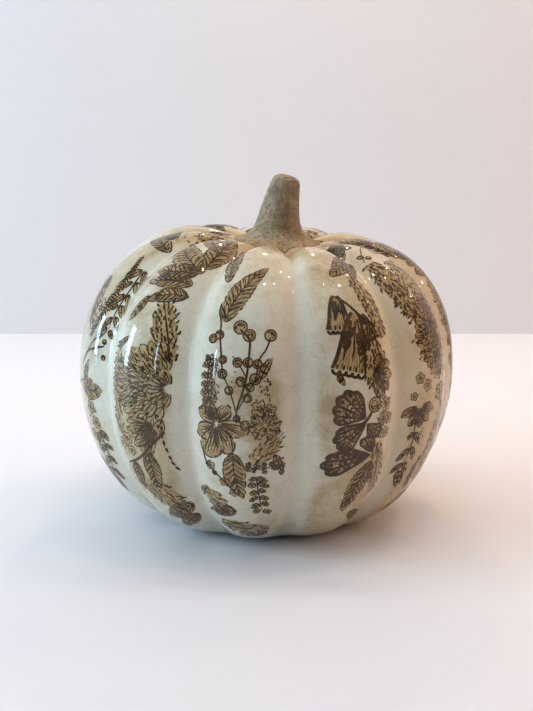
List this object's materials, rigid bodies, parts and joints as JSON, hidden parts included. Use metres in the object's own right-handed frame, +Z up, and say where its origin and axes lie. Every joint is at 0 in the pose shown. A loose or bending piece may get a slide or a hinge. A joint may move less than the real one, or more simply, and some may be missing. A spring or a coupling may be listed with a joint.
{
  "type": "ceramic pumpkin ornament",
  "caption": "Free-standing ribbed ceramic pumpkin ornament, hollow, with a matte stem luted into the crown and felt feet; crackle glaze with a brown botanical print.",
  "frame": {"origin": "centre of the underside on the surface it stands on", "axes": "+Z up along the body's axis; the printed front faces -Y; the stem leans towards +X"},
  "size_m": [0.1794, 0.178, 0.1653],
  "materials": {
    "glazed_body": "glossy crackle glaze over a brown print",
    "matte_stem": "matte, unglazed, stained brown",
    "felt_pad": "pressed felt"
  },
  "bodies": {
    "root": {"body_shell": "glazed_body", "stem": "matte_stem", "felt_pad_1": "felt_pad", "felt_pad_2": "felt_pad", "felt_pad_3": "felt_pad", "felt_pad_4": "felt_pad"}
  },
  "joints": []
}
